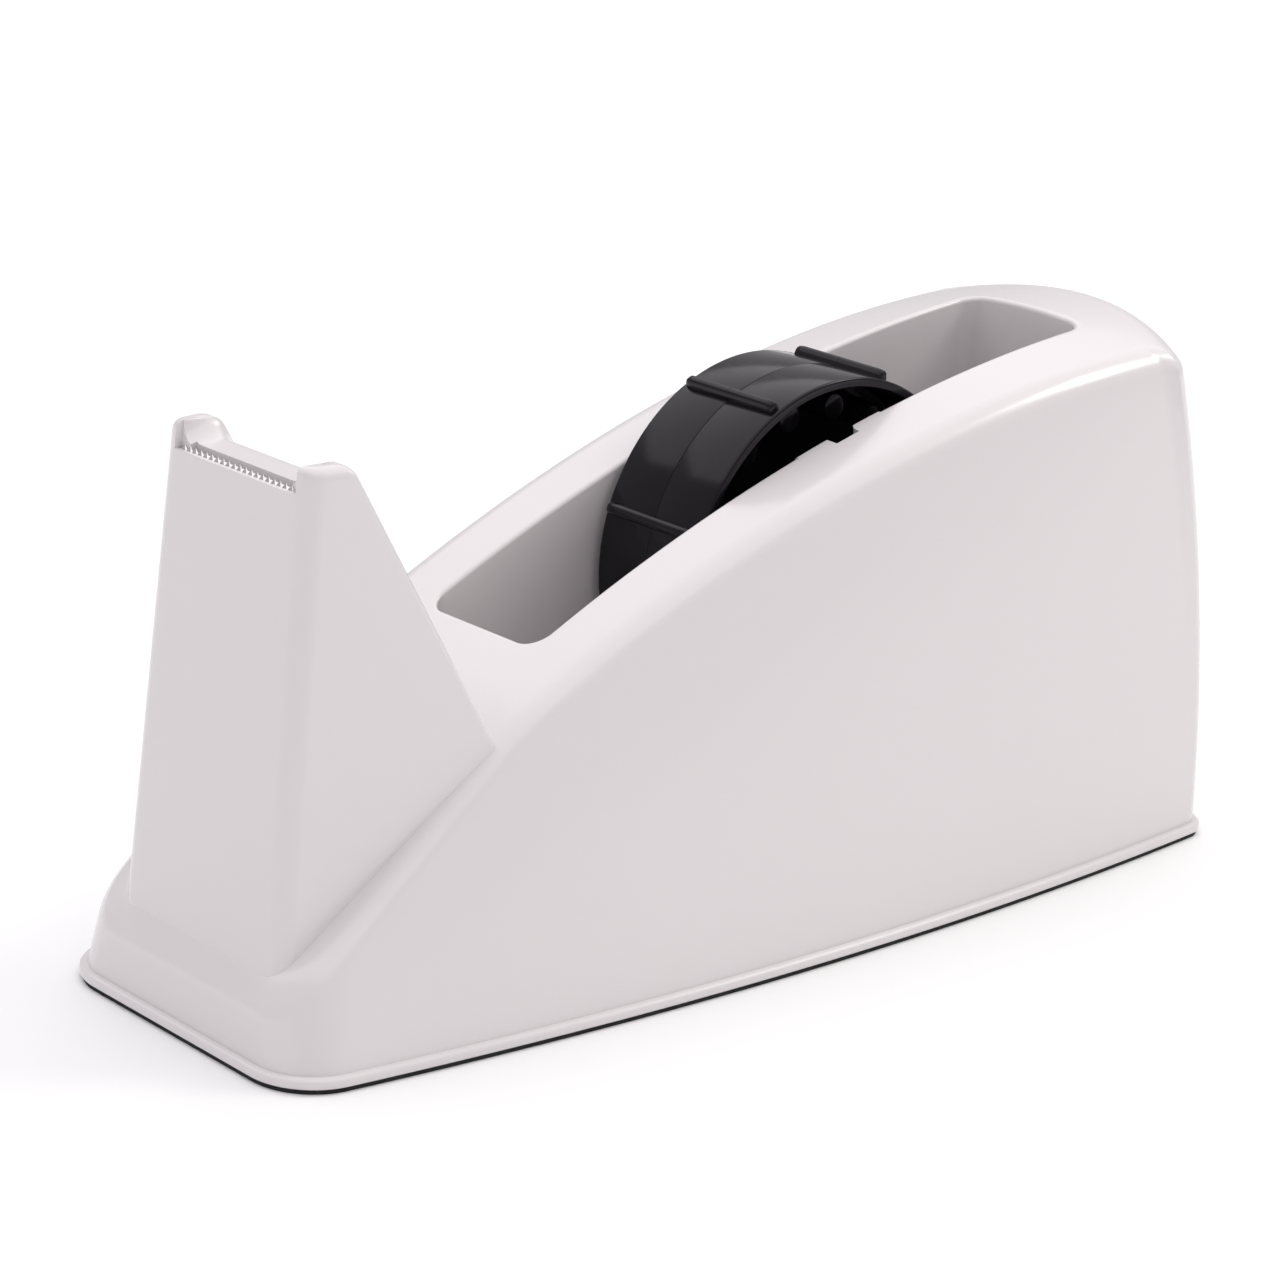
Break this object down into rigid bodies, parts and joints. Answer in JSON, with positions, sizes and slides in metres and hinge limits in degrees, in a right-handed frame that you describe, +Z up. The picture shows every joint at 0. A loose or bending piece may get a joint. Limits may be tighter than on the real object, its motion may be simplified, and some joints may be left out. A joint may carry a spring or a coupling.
{
  "type": "tape dispenser",
  "caption": "Weighted desk tape dispenser with a tall cutting tower, a drafted casing round a deep tape well, and a ribbed hub that lifts out.",
  "frame": {"origin": "middle of the pad's footprint, on the table", "axes": "+Z up, +X from the blade towards the tape well, +Y across, to the left of a user who faces the blade"},
  "size_m": [0.236, 0.0884, 0.1043],
  "materials": {
    "white_plastic": "glossy moulded, drafted walls",
    "pad_foam": "matte closed-cell foam rubber",
    "blade_steel": "polished stainless strip",
    "ballast_iron": "rough cast",
    "screw_steel": "zinc plated",
    "hub_plastic": "glossy black moulded",
    "axle_plastic": "satin black moulded"
  },
  "bodies": {
    "dispenser": {"casing": "white_plastic", "base_tray": "white_plastic", "nonslip_pad": "pad_foam", "cutting_blade": "blade_steel", "ballast_front": "ballast_iron", "ballast_left": "ballast_iron", "ballast_right": "ballast_iron", "ballast_rear": "ballast_iron", "screw_front_left": "screw_steel", "screw_front_right": "screw_steel", "screw_middle_left": "screw_steel", "screw_middle_right": "screw_steel", "screw_rear_left": "screw_steel", "screw_rear_right": "screw_steel"},
    "axle": {"axle": "axle_plastic"},
    "hub": {"hub_half_left": "hub_plastic", "hub_half_right": "hub_plastic"}
  },
  "joints": [
    {"name": "hub_lift", "type": "slide", "parent": "dispenser", "child": "axle", "axis": [-0.1132, 0, 0.9936], "range_m": [0, 0.085]},
    {"name": "hub_spin", "type": "hinge", "parent": "axle", "child": "hub", "pos_m": [0.0223, 0, 0.0628], "axis": [0, -1, 0], "continuous": true}
  ]
}
